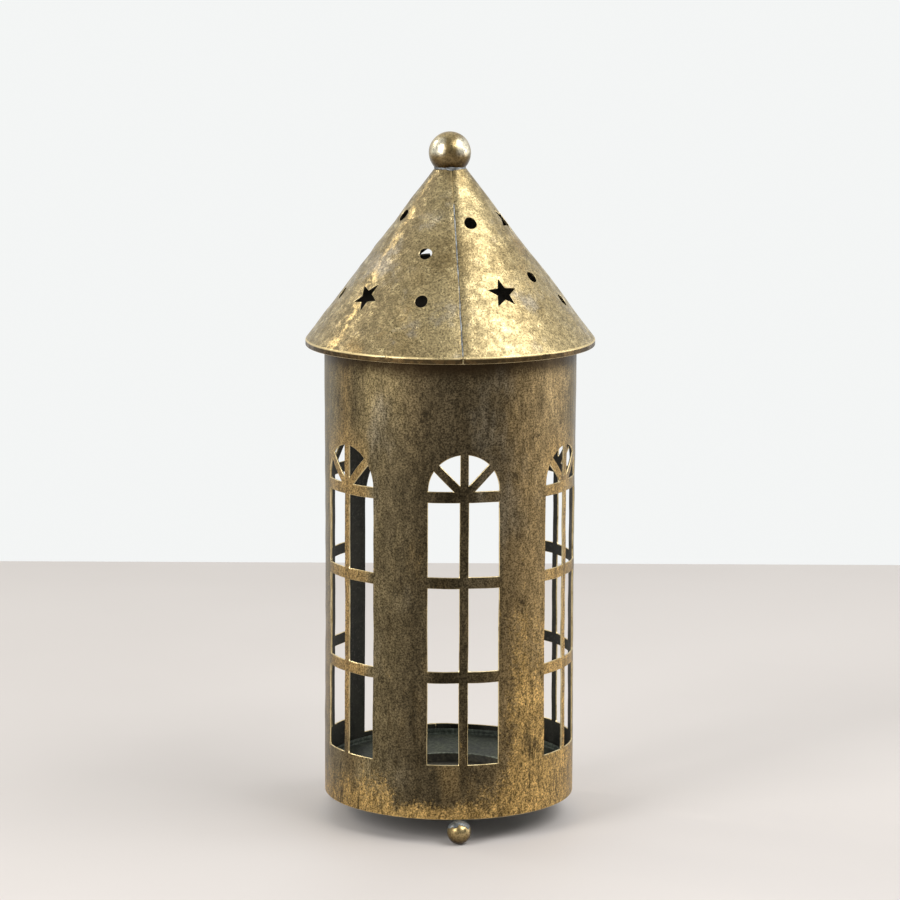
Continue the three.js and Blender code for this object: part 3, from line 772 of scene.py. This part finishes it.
def make_roof():
    first_angle = math.radians((-180 - LAP) * ROOF_SIN)
    last_angle = math.radians(180 * ROOF_SIN)

    def polar(slant, angles):
        return [(slant * math.sin(a), slant * math.cos(a)) for a in angles]

    def lap_angle(slant):
        return math.radians(-(180 + float(lap_edge(slant))) * ROOF_SIN)

    outer = polar(SKIRT_END, np.linspace(lap_angle(SKIRT_END), last_angle, 330))
    inner = polar(ROOF_TOP, np.linspace(last_angle, first_angle, 40))
    outline = outer + list(sampled([outer[-1], inner[0]], 1.1, False))[1:-1] + inner
    for slant in np.linspace(ROOF_TOP, SKIRT_END, 96)[1:-1]:
        outline += polar(slant, [lap_angle(slant)])
    holes = []
    for i, (bearing, slant) in enumerate(HOLES):
        centre, _ = unrolled(bearing, slant)
        angles = np.linspace(0, 2 * math.pi, 28, endpoint=False)
        radius = HOLE_R * (1 + 0.03 * np.sin(2 * angles + i) + 0.02 * np.sin(3 * angles + 2 * i))
        edge = [centre[0] + radius * np.cos(angles), centre[1] + radius * np.sin(angles)]
        holes.append(np.column_stack(edge))
    for i, (bearing, slant, turn) in enumerate(STARS):
        centre, angle = unrolled(bearing, slant)
        points = []
        for k in range(10):
            radius = STAR_TIP * (1 + 0.04 * math.sin(i * 2.1 + k * 1.7)) if k % 2 == 0 else STAR_NOTCH
            # Up the slope is towards the pattern's middle, and clockwise outside is clockwise on the pattern.
            a = math.radians(turn + 36 * k)
            across, up = radius * math.sin(a), radius * math.cos(a)
            points.append((centre[0] + across * math.cos(angle) - up * math.sin(angle),
                           centre[1] - across * math.sin(angle) - up * math.cos(angle)))
        holes.append(sampled(points, 0.9))
    fill = []
    step = 1.9
    grid = np.arange(-SKIRT_END, SKIRT_END, step)
    for i, y in enumerate(np.arange(-SKIRT_END, SKIRT_END, step * 0.866)):
        for x in grid:
            px = x + (i % 2) * step / 2
            if ROOF_TOP + 1 < math.hypot(px, y) < ROOF_EDGE - 1.2:
                fill.append((px, y))
    for slant in (ROOF_EDGE - 0.6, ROOF_EDGE, ROOF_EDGE + 0.22, ROOF_EDGE + 0.43, SKIRT_START,
                  SKIRT_START + 0.8, SKIRT_START + 1.5):
        fill += polar(slant, np.linspace(lap_angle(SKIRT_END), last_angle, 330)[1:-1])
    for bearing, radius, _ in EAVE_MARKS:
        _, angle = unrolled(bearing, SKIRT_START)
        for slant in (ROOF_EDGE - 1.0, ROOF_EDGE - 0.3, ROOF_EDGE + 0.3, SKIRT_START + 0.4):
            fill += polar(slant, angle + np.linspace(-0.02, 0.02, 12))
    flat, faces, border = cut_sheet(np.array(outline), holes, np.array(fill))
    return bent_sheet("roof", flat, faces, border, roof_place, roof_marks, ROOF_CHAMFER,
                      (ROOF, ROOF_INSIDE, CUT, ROOF_INSIDE))


# ---------------------------------------------------------------- solder, floor, balls

def bead(name, line, width, height, material, seed):
    """A lumpy bead of solder along a line of (point, across, out) frames."""
    rng = np.random.default_rng(seed)
    sides = 10
    verts, faces = [], []
    lumps = np.convolve(rng.uniform(0.55, 1.35, len(line) + 4), np.ones(5) / 5, "valid")
    drift = np.convolve(rng.uniform(-1, 1, len(line) + 6), np.ones(7) / 7, "valid")
    for i, (point, across, out) in enumerate(line):
        end = min(1.0, (i + 0.35) / 3, (len(line) - 0.65 - i) / 3) ** 0.5
        for k in range(sides):
            a = 2 * math.pi * k / sides
            side = math.cos(a) * width / 2 * lumps[i] * end + drift[i] * width * 0.35
            rise = math.sin(a) * height * lumps[i] * end
            verts.append(np.array(point) + np.array(across) * side + np.array(out) * max(rise, -height * 0.4))
    for i in range(len(line) - 1):
        for k in range(sides):
            n = (k + 1) % sides
            faces.append((i * sides + k, i * sides + n, (i + 1) * sides + n, (i + 1) * sides + k))
    faces.append(tuple(range(sides))[::-1])
    faces.append(tuple(range((len(line) - 1) * sides, len(line) * sides)))
    return new_object(name, verts, faces, (material,))


def make_roof_seam():
    slants = np.arange(31, ROOF_EDGE - 0.5, 0.9)
    angle = math.radians(SEAM)
    across = (math.cos(angle), math.sin(angle), 0)
    out = (ROOF_COS * math.sin(angle), -ROOF_COS * math.cos(angle), ROOF_SIN)
    base = roof_point(np.full(len(slants), SEAM + 0.1), slants, np.full(len(slants), -0.15))
    return bead("roof_seam", [(p, across, out) for p in base], 0.66, 0.22, BLUE_SOLDER, 21)


def make_wall_seam(name, low, high, seed):
    heights = np.arange(low, high, 1.0)
    edge = math.radians(180) + WALL_LAP / BODY_R
    radius = BODY_R + 0.35
    point = [(radius * math.sin(edge), -radius * math.cos(edge), BODY_LOW + z) for z in heights]
    out = (math.sin(edge), -math.cos(edge), 0)
    across = (math.cos(edge), math.sin(edge), 0)
    return bead(name, [(p, across, out) for p in point], 1.3, 0.45, SOLDER, seed)


def move_to_roof(piece, shift):
    points = np.array([v.co[:] for v in piece.data.vertices]) / MM
    for vertex, point in zip(piece.data.vertices, (tilted(points) + shift) * MM):
        vertex.co = point
    return piece


def make_finial():
    low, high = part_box("finial_ball")
    radius = (high.z - low.z) / MM / 2
    middle = (high.z + low.z) / MM / 2
    profile = [(0.0, middle - radius)] + arc((0, middle), radius, -87, 87, 45) + [(0.0, middle + radius)]

    def section(bearing):
        """The ball is two pressed halves: a faint joint runs round just under its middle."""
        points = []
        for r, z in profile:
            inward = 0.06 + 0.04 * math.sin(3 * bearing + z * 0.5) + 0.02 * math.sin(7 * bearing - z)
            joint = 0.05 * math.exp(-((z - middle + 1.5) / 0.35) ** 2)
            points.append((r - (inward + joint) * r / radius, z))
        return points

    return move_to_roof(turned("finial", section, 72, (FINIAL,)), FINIAL_SHIFT)


def make_finial_solder():
    middle = (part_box("finial_ball")[0].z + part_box("finial_ball")[1].z) / MM / 2
    to_cone = (ROOF_APEX - middle) * ROOF_SIN - 0.1
    ball_r = 9.95
    reach = math.sqrt(ball_r ** 2 - to_cone ** 2)

    def slope(along, lift):
        off = to_cone + lift
        return off * ROOF_COS + along * ROOF_SIN, middle + off * ROOF_SIN - along * ROOF_COS

    def on_ball(up, lift):
        rise = to_cone * ROOF_SIN - reach * ROOF_COS
        angle = math.atan2(rise, reach * ROOF_SIN + to_cone * ROOF_COS) + up / ball_r
        return (ball_r + lift) * math.cos(angle), middle + (ball_r + lift) * math.sin(angle)

    def section(bearing):
        """A small fillet in the corner between the ball and the cone, widest in front."""
        front = math.exp(-(((bearing + math.pi) % (2 * math.pi) - math.pi) / 0.5) ** 2)
        size = 0.46 + 0.28 * front + 0.12 * math.sin(5 * bearing + 1.0) + 0.09 * math.sin(11 * bearing + 2.4)
        return [slope(reach - 0.2, -0.1), slope(reach + 1.3 * size, -0.1),
                slope(reach + 1.2 * size, 0.12 * size),
                slope(reach + 0.6 * size, 0.36 * size), on_ball(0.75 * size, 0.30 * size),
                on_ball(1.1 * size, 0.10 * size),
                on_ball(1.15 * size, -0.05), on_ball(0.3, -0.1)]

    return move_to_roof(turned("finial_solder_ring", section, 120, (BLUE_SOLDER,)), FINIAL_SHIFT)


def make_plate():
    low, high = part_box("base_plate")
    outer = high.x / MM
    flange = high.z / MM
    floor, rim, seat, sheet = BODY_LOW + 12.0, BODY_LOW + 8.9, BODY_LOW + 5.0, 0.8
    drop = (floor - rim) / 25.0
    profile = [(0.0, seat - sheet), (16, seat - sheet), (31.4, seat - sheet)]
    profile += arc((31.6, seat), 0.8, -75, -10, 4)
    profile += [(32.7, rim - sheet - 0.3), (33.2, rim - sheet), (45, rim - sheet + drop * 12),
                (outer - 1.6, floor - sheet)]
    profile += arc((outer - 1.1, floor - sheet + 1.1), 1.1, -80, 0, 6)
    profile += [(outer, flange - 0.15), (outer - 0.15, flange), (outer - 0.6, flange),
                (outer - sheet, flange - 0.2)]
    profile += [(outer - sheet, floor + 0.9)]
    profile += arc((outer - sheet - 0.8, floor + 0.8), 0.8, -8, -86, 5)
    profile += [(50, rim + drop * 17.6), (42, rim + drop * 9.6), (34, rim + drop * 1.6), (32.7, rim),
                (32.2, rim - 0.08), (31.9, rim - 0.45), (31.5, seat + 0.6), (31.1, seat + 0.15), (30.5, seat),
                (20, seat), (10, seat), (0.0, seat)]

    def section(bearing):
        points = []
        for r, z in profile:
            calm = smooth(r, 4, 14) * (1 - smooth(r, 50, 56))
            points.append((r, z + float(calm * 0.12 * math.sin(2 * bearing + 0.7) * math.sin(r / 9.0))))
        return points

    return turned("floor_plate", section, 120, (PLATE,))


def make_foot(side, seed):
    low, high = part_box(f"foot_ball_{side}")
    middle = ((low.x + high.x) / 2 / MM, (low.y + high.y) / 2 / MM)
    radius, level = 5.66, 5.6
    flat = math.degrees(math.asin(-level / radius))
    profile = [(0.0, 0.0)] + arc((0, level), radius, flat, 87, 33) + [(0.0, level + radius)]
    phase = np.random.default_rng(seed).uniform(0, 6, 4)

    def ball_section(bearing):
        points = []
        for r, z in profile:
            calm = float(smooth(z, 0.3, 1.5))
            points.append((r * (1 - calm * (0.009 + 0.007 * math.sin(4 * bearing + z + phase[0]))), z))
        return points

    def smear_section(bearing):
        """Solder drawn down over the ball, in ragged tongues that reach lowest at its two sides."""
        reach = 44 + 26 * math.sin(bearing) ** 2
        reach += 5 * math.sin(5 * bearing + phase[1]) + 4 * math.sin(9 * bearing + phase[2])
        reach += 2.5 * math.sin(17 * bearing)
        thick = 0.24 + 0.07 * math.sin(3 * bearing + phase[3])
        outside, inside = [], []
        for share in np.linspace(0.12, 1, 9):
            angle = math.radians(90 - reach * share)
            lift = thick * (1 - share ** 4) + 0.05
            outside.append(((radius + lift) * math.cos(angle), level + (radius + lift) * math.sin(angle)))
            inside.append(((radius + 0.01) * math.cos(angle), level + (radius + 0.01) * math.sin(angle)))
        return [(0.0, level + radius + 0.02)] + inside + outside[::-1] + [(0.0, level + radius + 0.30)]

    ball = turned(f"foot_{side}", ball_section, 48, (BALL,), middle)
    smear = turned(f"foot_{side}_solder_smear", smear_section, 96, (BLUE_SOLDER,), middle)
    return ball, smear


# ---------------------------------------------------------------- assembly

def settle(piece, slot, *nodes):
    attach(piece, "root")
    if nodes:
        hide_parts(*nodes)


settle(make_drum(), "brass_drum", "body_shell")
settle(make_roof(), "brass_roof", "roof_cone")
settle(make_roof_seam(), "solder", "roof_seam_solder")
settle(make_wall_seam("wall_seam_upper", 174.0, 226.0, 31), "solder", "body_seam_upper")
settle(make_wall_seam("wall_seam_lower", 1.0, 16.6, 32), "solder", "body_seam_lower")
settle(make_finial(), "brass_ball", "finial_ball")
settle(make_finial_solder(), "solder", "finial_solder")
settle(make_plate(), "brass_plate", "base_plate")
for index, side in enumerate(("front", "right", "left")):
    foot, smear = make_foot(side, 40 + index)
    settle(foot, "brass_ball", f"foot_ball_{side}")
    settle(smear, "solder", f"foot_solder_{side}")

for name in ("roof_tack_1", "roof_tack_2", "roof_tack_3", "roof_tack_4",
             "base_tack_1", "base_tack_2", "base_tack_3"):
    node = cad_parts[name]
    if not node.material_slots:
        node.data.materials.append(SOLDER)
    for held in node.material_slots:
        held.link = "OBJECT"
        held.material = SOLDER


# ---------------------------------------------------------------- stage, light and camera

def make_floor():
    mesh = bpy.data.meshes.new("floor")
    mesh.from_pydata([(-3.2, -2.6, 0), (3.2, -2.6, 0), (3.2, 0.63, 0), (-3.2, 0.63, 0)], [], [(0, 1, 2, 3)])
    floor = bpy.data.objects.new("floor", mesh)
    floor.rotation_euler = (0, 0, -CAMERA_HEADING)
    bpy.context.collection.objects.link(floor)
    look = Look("pale_floor", 0.0, 0.6)
    cloud = look.noise(4, 4, 0.5, shift=1.0)
    colour = look.mix(look.span(cloud, 0.3, 0.7), (0.635, 0.59, 0.56), (0.655, 0.61, 0.58))
    look.finish(colour, 0.6, look.bump(look.noise(60, 3), 0.0002, 0.2))
    mesh.materials.append(look.material)


def area_light(name, place, target, size, power, colour=(1, 1, 1)):
    data = bpy.data.lights.new(name, "AREA")
    data.shape = "RECTANGLE"
    data.size, data.size_y = size
    data.energy = power
    data.color = colour
    lamp = bpy.data.objects.new(name, data)
    lamp.location = place
    lamp.rotation_euler = (Vector(target) - Vector(place)).to_track_quat("-Z", "Y").to_euler()
    bpy.context.collection.objects.link(lamp)


def make_world():
    """Pale all round to the eye; for the light that falls on things it is bright behind and dim in front."""
    world = bpy.data.worlds.new("studio")
    world.use_nodes = True
    bpy.context.scene.world = world
    tree = world.node_tree
    tree.nodes.clear()
    coords = tree.nodes.new("ShaderNodeTexCoord")
    split = tree.nodes.new("ShaderNodeSeparateXYZ")
    tree.links.new(coords.outputs["Generated"], split.inputs[0])
    ramp = tree.nodes.new("ShaderNodeMapRange")
    ramp.interpolation_type = "SMOOTHSTEP"
    tree.links.new(split.outputs[1], ramp.inputs[0])
    ramp.inputs[1].default_value = -0.6
    ramp.inputs[2].default_value = 0.6
    ramp.inputs[3].default_value = 0.26
    ramp.inputs[4].default_value = 0.95
    seen = tree.nodes.new("ShaderNodeLightPath")
    choose = tree.nodes.new("ShaderNodeMix")
    choose.data_type = "FLOAT"
    tree.links.new(seen.outputs["Is Camera Ray"], choose.inputs[0])
    tree.links.new(ramp.outputs[0], choose.inputs[2])
    choose.inputs[3].default_value = 0.93
    background = tree.nodes.new("ShaderNodeBackground")
    background.inputs[0].default_value = (0.97, 0.985, 0.98, 1)
    tree.links.new(choose.outputs[0], background.inputs[1])
    out = tree.nodes.new("ShaderNodeOutputWorld")
    tree.links.new(background.outputs[0], out.inputs[0])


def make_camera():
    data = bpy.data.cameras.new("camera")
    data.lens = 129.74
    data.sensor_width = 36
    data.clip_end = 20
    camera = bpy.data.objects.new("camera", data)
    pitch, roll = math.radians(8.979), math.radians(0.249)
    turn = Matrix.Rotation(-CAMERA_HEADING, 4, "Z") @ Matrix.Rotation(math.pi / 2 - pitch, 4, "X")
    turn = turn @ Matrix.Rotation(roll, 4, "Z")
    camera.matrix_world = Matrix.Translation((-0.1670, -1.5208, 0.4189)) @ turn
    bpy.context.collection.objects.link(camera)
    bpy.context.scene.camera = camera


make_floor()
make_world()
make_camera()
area_light("softbox_right", (0.85, -0.62, 1.32), (0, 0, 0.22), (1.25, 1.0), 15.7)
area_light("softbox_left", (-1.25, -0.85, 0.85), (0, 0, 0.2), (0.7, 1.0), 17)
area_light("strip_side", (1.4, 0.1, 0.35), (0, 0, 0.15), (0.5, 1.0), 4)
area_light("strip_behind", (-1.15, 0.70, 1.1), (0, 0, 0.27), (0.12, 0.4), 2.6, (1, 0.93, 0.8))
bpy.context.scene.view_settings.view_transform = "Standard"
